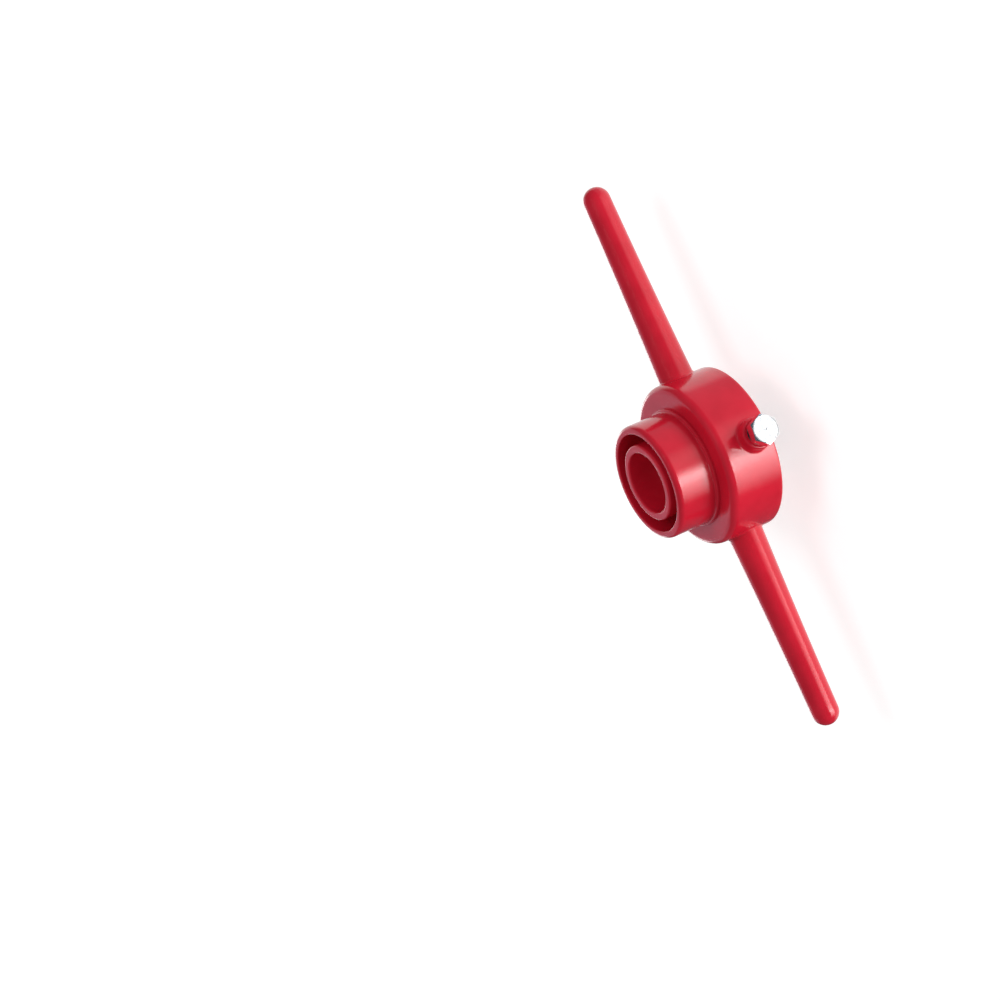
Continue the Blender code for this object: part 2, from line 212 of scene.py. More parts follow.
def split_long_runs(points, closed, longest):
    """The same outline with a point at least every `longest` along it, so that cuts leave small faces."""
    out = []
    count = len(points)
    for i in range(count if closed else count - 1):
        a = points[i]
        b = points[(i + 1) % count]
        pieces = max(1, math.ceil(math.hypot(b[0] - a[0], b[1] - a[1]) / longest))
        for k in range(pieces):
            share = k / pieces
            out.append((a[0] + (b[0] - a[0]) * share, a[1] + (b[1] - a[1]) * share))
    if not closed:
        out.append(points[-1])
    return out


def mesh_of(shape, name):
    """A mesh of what was modelled, which is then let go."""
    mesh = bpy.data.meshes.new(name)
    shape.to_mesh(mesh)
    shape.free()
    return mesh


def ring_mesh(name, points, steps, closed=True, longest=SIDE_STEP):
    """Turns an outline of (radius, height) points round Z into a closed mesh."""
    points = split_long_runs(points, closed, longest)
    shape = bmesh.new()
    rows = []
    for r, z in points:
        if r < 1e-9:
            rows.append([shape.verts.new((0.0, 0.0, z))])
            continue
        row = []
        for k in range(steps):
            angle = math.tau * k / steps
            row.append(shape.verts.new((r * math.cos(angle), r * math.sin(angle), z)))
        rows.append(row)
    for i in range(len(rows) if closed else len(rows) - 1):
        upper = rows[i]
        lower = rows[(i + 1) % len(rows)]
        for k in range(steps):
            n = (k + 1) % steps
            corners = []
            for row, index in ((upper, k), (lower, k), (lower, n), (upper, n)):
                corner = row[index % len(row)]
                if corner not in corners:
                    corners.append(corner)
            if len(corners) > 2:
                shape.faces.new(corners)
    bmesh.ops.recalc_face_normals(shape, faces=shape.faces)
    return mesh_of(shape, name)


def helix_mesh(name, outline, pitch, turns, steps, start):
    """A thread from one pitch of (radius, height share) points, closed over its whole length."""
    shape = bmesh.new()
    corners = []
    for i in range(turns + 1):
        for r, share in outline:
            corners.append(shape.verts.new((r, 0.0, start + (i - 1 + share) * pitch)))
    line = [shape.edges.new(pair) for pair in zip(corners, corners[1:])]
    bmesh.ops.spin(
        shape,
        geom=corners + line,
        cent=(0.0, 0.0, 0.0),
        axis=(0.0, 0.0, 1.0),
        dvec=(0.0, 0.0, pitch / steps),
        angle=math.tau,
        steps=steps,
    )
    bmesh.ops.remove_doubles(shape, verts=shape.verts, dist=0.000001)
    for height, way in ((start + (turns - HELIX_TRIM) * pitch, 1.0), (start, -1.0)):
        everything = list(shape.verts) + list(shape.edges) + list(shape.faces)
        bmesh.ops.bisect_plane(
            shape,
            geom=everything,
            plane_co=(0.0, 0.0, height),
            plane_no=(0.0, 0.0, way),
            clear_outer=True,
        )
    rim = [edge for edge in shape.edges if edge.is_boundary]
    bmesh.ops.holes_fill(shape, edges=rim)
    bmesh.ops.recalc_face_normals(shape, faces=shape.faces)
    return mesh_of(shape, name)


def new_object(name, mesh, matrix=None):
    """Adds a piece to the scene, at the origin unless a place is given."""
    piece = bpy.data.objects.new(name, mesh)
    bpy.context.scene.collection.objects.link(piece)
    if matrix is not None:
        piece.matrix_world = matrix
    return piece


def facing(direction):
    """The turn that lays local Z along a direction."""
    return Vector(direction).to_track_quat("Z", "Y").to_matrix().to_4x4()


def on_axis(x, y, z):
    """A place given from the pipe's axis, in the part's frame."""
    return Matrix.Translation((x, AXIS_Y + y, z))


def toward(azimuth, elevation, distance):
    """A place at a distance from the origin, from its angles in degrees."""
    a = math.radians(azimuth)
    e = math.radians(elevation)
    return Vector((math.cos(e) * math.cos(a), math.cos(e) * math.sin(a), math.sin(e))) * distance


def rod(name, radius, length, matrix, end_radius=None, segments=ROD_STEPS):
    """Cutter: a cylinder or cone along its local Z, centred on its place."""
    shape = bmesh.new()
    bmesh.ops.create_cone(
        shape,
        cap_ends=True,
        segments=segments,
        radius1=radius,
        radius2=radius if end_radius is None else end_radius,
        depth=length,
    )
    return new_object(name, mesh_of(shape, name), matrix @ Matrix.Rotation(ROD_TURN, 4, "Z"))


def cut(piece, others, operation="DIFFERENCE"):
    """Joins or cuts with each of the others in turn, and removes them."""
    for other in others:
        boolean = piece.modifiers.new(other.name, "BOOLEAN")
        boolean.operation = operation
        boolean.solver = "EXACT"
        boolean.object = other
    bpy.context.view_layer.update()
    graph = bpy.context.evaluated_depsgraph_get()
    mesh = bpy.data.meshes.new_from_object(piece.evaluated_get(graph), depsgraph=graph)
    piece.modifiers.clear()
    piece.data = mesh
    for other in others:
        bpy.data.objects.remove(other, do_unlink=True)


def smooth(piece, degrees=30.0):
    """Smooth shading, with sharp edges where faces meet at more than the angle."""
    piece.data.shade_smooth()
    piece.data.set_sharp_from_angle(angle=math.radians(degrees))


def fill_slots(piece, *materials):
    """Gives a piece these materials and no others."""
    piece.data.materials.clear()
    for material in materials:
        piece.data.materials.append(material)


def stands_for(piece, node, body):
    """The piece rides on a body and stands for one CAD node, which it hides."""
    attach(piece, body)
    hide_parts(node)


class Nodes:
    """Short ways to add and link shader nodes."""

    def __init__(self, name):
        self.material = bpy.data.materials.new(name)
        self.material.use_nodes = True
        self.tree = self.material.node_tree
        self.shader = self.tree.nodes["Principled BSDF"]
        self.place = self.add("ShaderNodeTexCoord").outputs["Object"]

    def add(self, kind, **settings):
        node = self.tree.nodes.new(kind)
        for key, value in settings.items():
            setattr(node, key, value)
        return node

    def link(self, source, target):
        self.tree.links.new(source, target)

    def noise(self, scale, detail):
        """Soft clouds, this many to the metre."""
        node = self.add("ShaderNodeTexNoise")
        node.inputs["Scale"].default_value = scale
        node.inputs["Detail"].default_value = detail
        node.inputs["Roughness"].default_value = 0.5
        self.link(self.place, node.inputs["Vector"])
        return node.outputs["Fac"]

    def spots(self, scale):
        """Distance to the nearest of scattered points, this many to the metre."""
        node = self.add("ShaderNodeTexVoronoi")
        node.inputs["Scale"].default_value = scale
        self.link(self.place, node.inputs["Vector"])
        return node.outputs["Distance"]

    def span(self, value, low, high, to_low, to_high):
        """Moves a value from one range to another, and holds it inside the second."""
        node = self.add("ShaderNodeMapRange")
        node.inputs["From Min"].default_value = low
        node.inputs["From Max"].default_value = high
        node.inputs["To Min"].default_value = to_low
        node.inputs["To Max"].default_value = to_high
        self.link(value, node.inputs["Value"])
        return node.outputs["Result"]

    def maths(self, operation, *values):
        """One sum on numbers or sockets."""
        node = self.add("ShaderNodeMath", operation=operation)
        for socket, value in zip(node.inputs, values):
            if isinstance(value, (int, float)):
                socket.default_value = value
            else:
                self.link(value, socket)
        return node.outputs[0]

    def mix(self, factor, first, second):
        """From the first colour to the second as the factor goes from 0 to 1."""
        node = self.add("ShaderNodeMix", data_type="RGBA")
        self.link(factor, node.inputs["Factor"])
        node.inputs[6].default_value = first
        node.inputs[7].default_value = second
        return node.outputs[2]

    def bump(self, height, strength, distance, under=None):
        """Relief from a height, over other relief where that is given."""
        node = self.add("ShaderNodeBump")
        node.inputs["Strength"].default_value = strength
        node.inputs["Distance"].default_value = distance
        self.link(height, node.inputs["Height"])
        if under is not None:
            self.link(under, node.inputs["Normal"])
        return node.outputs["Normal"]

    def from_axis(self):
        """Distance from the piece's own Z axis."""
        flat = self.add("ShaderNodeVectorMath", operation="MULTIPLY")
        flat.inputs[1].default_value = (1.0, 1.0, 0.0)
        self.link(self.place, flat.inputs[0])
        length = self.add("ShaderNodeVectorMath", operation="LENGTH")
        self.link(flat.outputs["Vector"], length.inputs[0])
        return length.outputs["Value"]


def red_enamel():
    """Sprayed gloss enamel over a casting: long low waves, fine orange peel, a few nibs of dust."""
    n = Nodes("red_enamel")
    s = n.shader.inputs
    s["Metallic"].default_value = 0.0
    s["IOR"].default_value = 1.5
    s["Coat Weight"].default_value = 0.25
    s["Coat Roughness"].default_value = 0.06
    s["Coat IOR"].default_value = 1.5
    drift = n.span(n.noise(70.0, detail=2.0), 0.35, 0.65, 0.0, 1.0)
    n.link(n.mix(drift, (0.57, 0.008, 0.025, 1.0), (0.64, 0.011, 0.031, 1.0)), s["Base Color"])
    n.link(n.span(n.noise(260.0, detail=4.0), 0.3, 0.7, 0.15, 0.22), s["Roughness"])
    waves = n.bump(n.noise(120.0, detail=1.0), 0.30, 0.00022)
    peel = n.bump(n.noise(900.0, detail=1.5), 0.22, 0.00006, waves)
    nibs = n.span(n.spots(420.0), 0.0, 0.07, 1.0, 0.0)
    rare = n.span(n.noise(150.0, detail=0.0), 0.60, 0.66, 0.0, 1.0)
    dust = n.bump(n.maths("MULTIPLY", nibs, rare), 0.5, 0.00005, peel)
    n.link(dust, s["Normal"])
    return n.material


def zinc_plate():
    """Bright zinc with faint clouding, and the turned rings of a lathe about the bolt's own axis."""
    n = Nodes("zinc_plate")
    s = n.shader.inputs
    s["Metallic"].default_value = 1.0
    cloud = n.span(n.noise(380.0, detail=4.0), 0.3, 0.7, 0.0, 1.0)
    n.link(n.mix(cloud, (0.80, 0.81, 0.83, 1.0), (0.90, 0.90, 0.90, 1.0)), s["Base Color"])
    n.link(n.span(n.noise(900.0, detail=3.0), 0.3, 0.7, 0.14, 0.21), s["Roughness"])
    phase = n.maths("MULTIPLY", n.from_axis(), 42000.0)
    rings = n.maths("SINE", phase)
    turned = n.bump(rings, 0.08, 0.00001)
    n.link(n.bump(n.noise(1500.0, detail=2.0), 0.05, 0.00002, turned), s["Normal"])
    return n.material


def turned_steel(name, rings_per_metre, light, dark, smoothest, roughest):
    """Ground or turned steel: rings about the piece's axis, on faces and rims, over a cloudy grey."""
    n = Nodes(name)
    height = n.add("ShaderNodeSeparateXYZ")
    n.link(n.place, height.inputs[0])
    s = n.shader.inputs
    s["Metallic"].default_value = 1.0
    cloud = n.span(n.noise(160.0, detail=2.0), 0.3, 0.7, 0.0, 1.0)
    n.link(n.mix(cloud, dark, light), s["Base Color"])
    n.link(n.span(n.noise(420.0, detail=2.0), 0.3, 0.7, smoothest, roughest), s["Roughness"])
    wander = n.maths("MULTIPLY", n.noise(900.0, detail=1.0), 0.00008)
    travel = n.maths("ADD", n.maths("ADD", n.from_axis(), height.outputs["Z"]), wander)
    phase = n.maths("MULTIPLY", travel, rings_per_metre * math.tau)
    rings = n.maths("SINE", phase)
    n.link(n.bump(rings, 0.12, 0.00001), s["Normal"])
    return n.material


PAINT = red_enamel()
ZINC = zinc_plate()
STEEL = turned_steel(
    "tool_steel",
    rings_per_metre=1400.0,
    light=(0.47, 0.47, 0.48, 1.0),
    dark=(0.39, 0.39, 0.40, 1.0),
    smoothest=0.31,
    roughest=0.37,
)
BARE = turned_steel(
    "bare_metal",
    rings_per_metre=1700.0,
    light=(0.46, 0.45, 0.44, 1.0),
    dark=(0.30, 0.29, 0.29, 1.0),
    smoothest=0.30,
    roughest=0.46,
)


def make_boss():
    """Boss for the lock bolt, its foot bent to the hub's round side."""
    foot_radius = BOSS_RADIUS + BOSS_FOOT_ROUND
    root = HUB_RADIUS - HUB_FRONT_ROUND
    points = [(0.0, BOSS_TOP)]
    points += arc(BOSS_RADIUS - BOSS_TOP_ROUND, BOSS_TOP - BOSS_TOP_ROUND, BOSS_TOP_ROUND, 90, 0)
    points += arc(foot_radius, HUB_RADIUS + BOSS_FOOT_ROUND, BOSS_FOOT_ROUND, 180, 270)
    points += [(foot_radius, root), (0.0, root)]
    mesh = ring_mesh("boss", points, ROD_STEPS, closed=False, longest=0.0012)
    for vertex in mesh.vertices:
        share = 1.0 - min(max((vertex.co.z - HUB_RADIUS) / BOSS_HEIGHT, 0.0), 1.0)
        drop = HUB_RADIUS - math.sqrt(HUB_RADIUS**2 - vertex.co.x**2)
        vertex.co.z -= drop * share
    return new_object("boss", mesh, Matrix.Translation((0.0, 0.0, LOCK_HEIGHT)) @ facing((0.0, -1.0, 0.0)))


def make_hub():
    """Painted hub with bare metal in the die's socket and in the bolt's hole."""
    seat_radius = BARREL_RADIUS - SPIGOT_STEP + GAP
    hole_radius = GUIDE_RADIUS + GAP
    seat = SOCKET_DEPTH + SHOULDER_THICKNESS
    points = [(seat_radius, HUB_TOP)]
    points += arc(HUB_RADIUS - HUB_FRONT_ROUND, HUB_TOP - HUB_FRONT_ROUND, HUB_FRONT_ROUND, 90, 0)
    points += arc(HUB_RADIUS - HUB_REAR_ROUND, HUB_REAR_ROUND, HUB_REAR_ROUND, 0, -90)
    points += [
        (SOCKET_RADIUS + SOCKET_LIP, 0.0),
        (SOCKET_RADIUS, SOCKET_LIP),
        (SOCKET_RADIUS, SOCKET_DEPTH),
        (hole_radius, SOCKET_DEPTH),
        (hole_radius, seat),
        (seat_radius, seat),
    ]
    hub = new_object("hub_body", ring_mesh("hub_body", points, RING_STEPS))
    cut(hub, [make_boss()], "UNION")
    near = SOCKET_RADIUS - DRILL_PAST
    drills = []
    for side in (1, -1):
        way = facing((side, 0.0, 0.0))
        drills.append(
            rod(
                "seat",
                HANDLE_ROOT_RADIUS + GAP,
                2 * HANDLE_SINK,
                Matrix.Translation((side * HUB_RADIUS, 0.0, HANDLE_HEIGHT)) @ way,
            )
        )
        drills.append(
            rod(
                "stud_hole",
                STUD_RADIUS + GAP,
                HUB_RADIUS - near,
                Matrix.Translation((side * (HUB_RADIUS + near) / 2, 0.0, HANDLE_HEIGHT)) @ way,
            )
        )
    far = BOSS_TOP + DRILL_PAST
    way = facing((0.0, -1.0, 0.0))
    drills.append(
        rod(
            "bolt_hole",
            BOLT_RADIUS + GAP,
            far - near,
            Matrix.Translation((0.0, -(far + near) / 2, LOCK_HEIGHT)) @ way,
        )
    )
    drills.append(
        rod(
            "countersink",
            BOLT_RADIUS + GAP,
            2 * GAP,
            Matrix.Translation((0.0, -BOSS_TOP, LOCK_HEIGHT)) @ way,
            end_radius=BOLT_RADIUS + 3 * GAP,
        )
    )
    cut(hub, drills)
    hub.matrix_world = on_axis(0.0, 0.0, 0.0)
    fill_slots(hub, PAINT, BARE)
    for face in hub.data.polygons:
        corners = [hub.data.vertices[i].co for i in face.vertices]
        reach = max(math.hypot(v.x, v.y) for v in corners)
        in_depth = -TOLERANCE < face.center.z < SOCKET_DEPTH + TOLERANCE
        in_socket = in_depth and reach < SOCKET_RADIUS + GAP
        from_bolt = max(math.hypot(v.x, v.z - LOCK_HEIGHT) for v in corners)
        in_bolt_hole = from_bolt < BOLT_RADIUS + 4 * GAP and face.center.y < 0.0
        if in_socket or in_bolt_hole:
            face.material_index = 1
    smooth(hub)
    stands_for(hub, "stock_hub", "stock")


def handle_radius(share):
    """Radius from the root to the tip of a handle: a taper that is a little hollow between them."""
    straight = HANDLE_ROOT_RADIUS + (HANDLE_TIP_RADIUS - HANDLE_ROOT_RADIUS) * share
    return straight - 4 * HANDLE_HOLLOW * share * (1 - share)


def make_handle(name, node, side):
    """Tapered bar with a domed tip; its stud is threaded inside the hub."""
    seat = HUB_RADIUS - HANDLE_SINK + GAP
    dome = HANDLE_REACH - seat - HANDLE_TIP_RADIUS
    points = arc(0.0, dome, HANDLE_TIP_RADIUS, 90, 0)
    points[0] = (0.0, dome + HANDLE_TIP_RADIUS)
    for i in range(1, TAPER_STEPS + 1):
        height = dome * (1 - i / TAPER_STEPS)
        points.append((handle_radius(height / dome), height))
    neck = STUD_RADIUS - NECK_STEP
    points += [(neck, 0.0), (neck, -NECK_LENGTH), (0.0, -NECK_LENGTH)]
    handle = new_object(name, ring_mesh(name, points, ROD_STEPS, closed=False, longest=0.003))
    length = seat - STUD_END
    minor = STUD_RADIUS - STUD_THREAD_DEPTH
    outline = ((STUD_RADIUS, 0.0), (STUD_RADIUS, 0.15), (minor, 0.5), (minor, 0.65))
    turns = int(length / STUD_PITCH)
    thread = helix_mesh("stud", outline, STUD_PITCH, turns, STUD_THREAD_STEPS, -length)
    stud = new_object("stud", thread)
    cut(handle, [stud], "UNION")
    handle.matrix_world = on_axis(side * seat, 0.0, HANDLE_HEIGHT) @ facing((side, 0.0, 0.0))
    fill_slots(handle, PAINT, BARE)
    for face in handle.data.polygons:
        if face.center.z < -10 * TOLERANCE:
            face.material_index = 1
    smooth(handle)
    stands_for(handle, node, "stock")


def make_bead(name, side):
    """Paint that has run into the corner where a handle enters the hub."""
    shape = bmesh.new()
    section = []
    for i in range(BEAD_ARC_STEPS + 1):
        angle = math.radians(90 * i / BEAD_ARC_STEPS)
        section.append((BEAD * (1 - math.sin(angle)), BEAD * (1 - math.cos(angle))))
    section += [(BEAD, -BEAD / 2), (-BEAD / 2, -BEAD / 2), (-BEAD / 2, BEAD)]
    rings = []
    for k in range(BEAD_STEPS):
        angle = math.tau * k / BEAD_STEPS
        row = []
        for out, up in section:
            radius = HANDLE_ROOT_RADIUS - 2 * BEAD_SINK + out
            y = radius * math.cos(angle)
            z = radius * math.sin(angle)
            surface = math.sqrt(HUB_RADIUS**2 - y * y)
            x = side * (surface - BEAD_SINK + up)
            row.append(shape.verts.new((x, AXIS_Y + y, HANDLE_HEIGHT + z)))
        rings.append(row)
    for k in range(BEAD_STEPS):
        here = rings[k]
        there = rings[(k + 1) % BEAD_STEPS]
        for j in range(len(section)):
            m = (j + 1) % len(section)
            shape.faces.new((here[j], here[m], there[m], there[j]))
    bmesh.ops.recalc_face_normals(shape, faces=shape.faces)
    bead = new_object(name, mesh_of(shape, name))
    fill_slots(bead, PAINT)
    smooth(bead, 50.0)
    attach(bead, "stock")


def make_barrel():
    """Barrel with a low foot, a rounded front edge and a deep recess."""
    hole_radius = GUIDE_RADIUS + GAP
    foot_top = HUB_TOP + FOOT_HEIGHT
    floor = BARREL_TOP - RECESS_DEPTH
    spigot = BARREL_RADIUS - SPIGOT_STEP
    points = [(RECESS_RADIUS + RECESS_LIP, BARREL_TOP)]
    points += arc(BARREL_RADIUS - BARREL_ROUND, BARREL_TOP - BARREL_ROUND, BARREL_ROUND, 90, 0)
    points += arc(BARREL_RADIUS + FOOT_FILLET, foot_top + FOOT_FILLET, FOOT_FILLET, 180, 250)
    points += arc(FOOT_RADIUS - FOOT_ROUND, foot_top - FOOT_ROUND, FOOT_ROUND, 70, 0)
    points += [
        (FOOT_RADIUS, HUB_TOP + FOOT_LIFT),
        (spigot, HUB_TOP + FOOT_LIFT),
        (spigot, barrel_low.z),
        (hole_radius, barrel_low.z),
        (hole_radius, floor),
        (RECESS_RADIUS - RECESS_CORNER, floor),
        (RECESS_RADIUS, floor + RECESS_CORNER),
    ]
    points += arc(RECESS_RADIUS + RECESS_LIP, BARREL_TOP - RECESS_LIP, RECESS_LIP, 180, 100)
    barrel = new_object("barrel", ring_mesh("barrel", points, RING_STEPS), on_axis(0.0, 0.0, 0.0))
    fill_slots(barrel, PAINT)
    smooth(barrel, 35.0)
    stands_for(barrel, "guide_barrel", "stock")


def make_guide():
    """Sleeve that the pipe enters, with its collar on the floor of the recess."""
    collar = BARREL_TOP - RECESS_DEPTH + GAP
    collar_top = collar + COLLAR_THICKNESS
    points = [(PIPE_BORE_RADIUS + GUIDE_LIP, BARREL_TOP)]
    points += arc(GUIDE_RADIUS - GUIDE_ROUND, BARREL_TOP - GUIDE_ROUND, GUIDE_ROUND, 90, 0)
    points += arc(GUIDE_RADIUS + COLLAR_FILLET, collar_top + COLLAR_FILLET, COLLAR_FILLET, 180, 270)
    points += [
        (COLLAR_RADIUS, collar_top),
        (COLLAR_RADIUS, collar),
        (GUIDE_RADIUS, collar),
        (GUIDE_RADIUS, GUIDE_END),
        (PIPE_BORE_RADIUS, GUIDE_END),
    ]
    points += arc(PIPE_BORE_RADIUS + GUIDE_LIP, BARREL_TOP - GUIDE_LIP, GUIDE_LIP, 180, 100)
    mesh = ring_mesh("guide_sleeve", points, RING_STEPS)
    guide = new_object("guide_sleeve", mesh, on_axis(0.0, 0.0, 0.0))
    fill_slots(guide, PAINT)
    smooth(guide, 35.0)
    stands_for(guide, "pipe_guide", "stock")


def make_die():
    """Round die with a fine thread, chip holes, lead cones and dimples, ground on its faces."""
    points = [
        (0.0, DIE_TOP),
        (DIE_RADIUS - DIE_EDGE, DIE_TOP),
        (DIE_RADIUS, DIE_TOP - DIE_EDGE),
        (DIE_RADIUS, DIE_BOTTOM + DIE_EDGE),
        (DIE_RADIUS - DIE_EDGE, DIE_BOTTOM),
        (0.0, DIE_BOTTOM),
    ]
    blank = ring_mesh("threading_die", points, RING_STEPS, closed=False, longest=0.006)
    die = new_object("threading_die", blank)
    past = 2 * THREAD_PITCH
    outline = (
        (THREAD_MINOR_RADIUS, 0.0),
        (THREAD_MINOR_RADIUS, 0.22),
        (THREAD_MAJOR_RADIUS, 0.56),
        (THREAD_MAJOR_RADIUS, 0.66),
    )
    turns = math.ceil((DIE_TOP - DIE_BOTTOM + 2 * past) / THREAD_PITCH) + 2
    start = DIE_BOTTOM - past + THREAD_PITCH * PLUG_SHIFT
    plug = helix_mesh("plug", outline, THREAD_PITCH, turns, DIE_THREAD_STEPS, start)
    cutters = [new_object("plug", plug, Matrix.Rotation(PLUG_TURN, 4, "Z"))]
    slope = (LEAD_MOUTH_RADIUS - THREAD_MINOR_RADIUS) / LEAD_LENGTH
    for face, way in ((DIE_TOP, 1.0), (DIE_BOTTOM, -1.0)):
        cutters.append(
            rod(
                "lead",
                THREAD_MINOR_RADIUS - slope * past,
                LEAD_LENGTH + 2 * past,
                Matrix.Translation((0.0, 0.0, face - way * LEAD_LENGTH / 2)) @ facing((0.0, 0.0, way)),
                end_radius=LEAD_MOUTH_RADIUS + slope * past,
            )
        )
    for i in range(CHIP_HOLES):
        angle = math.tau * i / CHIP_HOLES
        x = CHIP_CIRCLE_RADIUS * math.cos(angle)
        y = CHIP_CIRCLE_RADIUS * math.sin(angle)
        cutters.append(
            rod(
                "chip_hole",
                CHIP_HOLE_RADIUS,
                CHIP_HOLE_LENGTH,
                Matrix.Translation((x, y, LOCK_HEIGHT)),
                segments=HOLE_STEPS,
            )
        )
    for i in range(DIMPLES):
        angle = math.tau * (i / DIMPLES - 1 / 4)
        outward = Vector((math.cos(angle), math.sin(angle), 0.0))
        place = outward * DIE_RADIUS
        place.z = LOCK_HEIGHT
        cutters.append(
            rod(
                "dimple",
                0.0,
                2 * DIMPLE_DEPTH,
                Matrix.Translation(place) @ facing(outward),
                end_radius=2 * DIMPLE_RADIUS,
                segments=DIMPLE_STEPS,
            )
        )
    cut(die, cutters)
    die.matrix_world = on_axis(0.0, 0.0, 0.0)
    fill_slots(die, STEEL)
    smooth(die)
    stands_for(die, "round_die", "die")


def make_bolt():
    """Hexagon bolt: chamfered head with turned ring, centre mark and washer face, thread and point."""
    corner = BOLT_FLATS / math.sqrt(3)
    top = BOLT_FLATS / 2 * BOLT_FACE_SHARE
    outer = corner * BOLT_BLANK_SHARE
    height = BOLT_HEAD_HEIGHT
    drop = (outer - top) * math.tan(BOLT_CHAMFER)
    points = [
        (0.0, height - BOLT_MARK_DEPTH),
        (BOLT_MARK_RADIUS, height),
        (top - BOLT_RING_WIDTH, height),
        (top - BOLT_RING_FLOOR, height - BOLT_RING_DEPTH),
        (top - BOLT_RING_LIP, height - BOLT_RING_DEPTH),
        (top, height - BOLT_RING_LIP),
        (outer, height - drop),
        (outer, BOLT_WASHER_FACE),
        (top, BOLT_WASHER_FACE),
        (top, 0.0),
        (0.0, 0.0),
    ]
    bolt = new_object("bolt", ring_mesh("bolt", points, BOLT_HEAD_STEPS, closed=False))
    shape = bmesh.new()
    bmesh.ops.create_cone(
        shape,
        cap_ends=True,
        segments=6,
        radius1=corner,
        radius2=corner,
        depth=HEXAGON_LENGTH,
    )
    upright = [e for e in shape.edges if abs(e.verts[0].co.z - e.verts[1].co.z) > HEXAGON_LENGTH / 2]
    bmesh.ops.bevel(shape, geom=upright, offset=BOLT_EDGE, segments=3, profile=0.5, affect="EDGES")
    hexagon = new_object("hexagon", mesh_of(shape, "hexagon"), Matrix.Rotation(BOLT_HEAD_TURN, 4, "Z"))
    cut(bolt, [hexagon], "INTERSECT")
    minor = BOLT_RADIUS - BOLT_THREAD_DEPTH
    shank = BOLT_SEAT - BOLT_END
    outline = ((BOLT_RADIUS, 0.0), (BOLT_RADIUS, 0.13), (minor, 0.5), (minor, 0.63))
    # The thread starts a little way down the point, and ends close under the head
    turns = math.floor((shank - BOLT_POINT) / BOLT_PITCH + HELIX_TRIM + BOLT_THREAD_SLACK)
    start = -(shank - BOLT_POINT * BOLT_THREAD_START)
    thread = new_object("thread", helix_mesh("thread", outline, BOLT_PITCH, turns, HOLE_STEPS, start))
    point = [
        (0.0, BOLT_CORE_SINK),
        (minor, BOLT_CORE_SINK),
        (minor, -shank + BOLT_POINT),
        (BOLT_POINT_RADIUS, -shank),
        (0.0, -shank),
    ]
    core = new_object("core", ring_mesh("core", point, HOLE_STEPS, closed=False))
    core.matrix_world = Matrix.Rotation(CORE_TURN, 4, "Z")
    cut(bolt, [thread, core], "UNION")
    bolt.matrix_world = on_axis(0.0, -BOLT_SEAT, LOCK_HEIGHT) @ facing((0.0, -1.0, 0.0))
    fill_slots(bolt, ZINC)
    smooth(bolt, 28.0)
    stands_for(bolt, "lock_bolt", "bolt")


def empty_tree(owner, output_kind):
    """Clears the shader nodes of a material or world, and gives its tree and a new output."""
    owner.use_nodes = True
    tree = owner.node_tree
    tree.nodes.clear()
    return tree, tree.nodes.new(output_kind)


def background_rays(tree):
    """One for the rays that show the background: the camera's, reflected ones and those through glass."""
    path = tree.nodes.new("ShaderNodeLightPath")
    total = path.outputs["Is Camera Ray"]
    for kind in ("Is Glossy Ray", "Is Transmission Ray"):
        either = tree.nodes.new("ShaderNodeMath")
        either.operation = "MAXIMUM"
        tree.links.new(total, either.inputs[0])
        tree.links.new(path.outputs[kind], either.inputs[1])
        total = either.outputs[0]
    return total


def make_floor():
    """Pale floor that keeps the shadow. It is seen from above only, and reflections pass through it."""
    shape = bmesh.new()
    bmesh.ops.create_grid(shape, x_segments=1, y_segments=1, size=FLOOR_REACH)
    floor = new_object("floor", mesh_of(shape, "floor"), Matrix.Translation((0.0, 0.0, FLOOR_HEIGHT)))
    material = bpy.data.materials.new("floor")
    tree, output = empty_tree(material, "ShaderNodeOutputMaterial")
    pale = tree.nodes.new("ShaderNodeBsdfDiffuse")
    pale.inputs["Color"].default_value = (0.80, 0.80, 0.80, 1.0)
    glow = tree.nodes.new("ShaderNodeEmission")
    glow.inputs["Color"].default_value = WHITE
    # Away from the lamps the floor's own white makes up for their light
    where = tree.nodes.new("ShaderNodeTexCoord")
    distance = tree.nodes.new("ShaderNodeVectorMath")
    distance.operation = "LENGTH"
    tree.links.new(where.outputs["Object"], distance.inputs[0])
    level = tree.nodes.new("ShaderNodeMapRange")
    level.interpolation_type = "SMOOTHSTEP"
    level.inputs["From Min"].default_value = FLOOR_NEAR
    level.inputs["From Max"].default_value = FLOOR_FAR
    level.inputs["To Min"].default_value = FLOOR_GLOW_NEAR
    level.inputs["To Max"].default_value = FLOOR_GLOW_FAR
    tree.links.new(distance.outputs["Value"], level.inputs["Value"])
    tree.links.new(level.outputs["Result"], glow.inputs["Strength"])
    black = tree.nodes.new("ShaderNodeEmission")
    black.inputs["Strength"].default_value = 0.0
    only_seen = tree.nodes.new("ShaderNodeMixShader")
    tree.links.new(background_rays(tree), only_seen.inputs["Fac"])
    tree.links.new(black.outputs[0], only_seen.inputs[1])
    tree.links.new(glow.outputs[0], only_seen.inputs[2])
    both = tree.nodes.new("ShaderNodeAddShader")
    tree.links.new(pale.outputs[0], both.inputs[0])
    tree.links.new(only_seen.outputs[0], both.inputs[1])
    back = tree.nodes.new("ShaderNodeNewGeometry")
    clear = tree.nodes.new("ShaderNodeBsdfTransparent")
    one_sided = tree.nodes.new("ShaderNodeMixShader")
    tree.links.new(back.outputs["Backfacing"], one_sided.inputs["Fac"])
    tree.links.new(both.outputs[0], one_sided.inputs[1])
    tree.links.new(clear.outputs[0], one_sided.inputs[2])
    tree.links.new(one_sided.outputs[0], output.inputs["Surface"])
    fill_slots(floor, material)
    floor.visible_glossy = False
    floor.visible_shadow = False


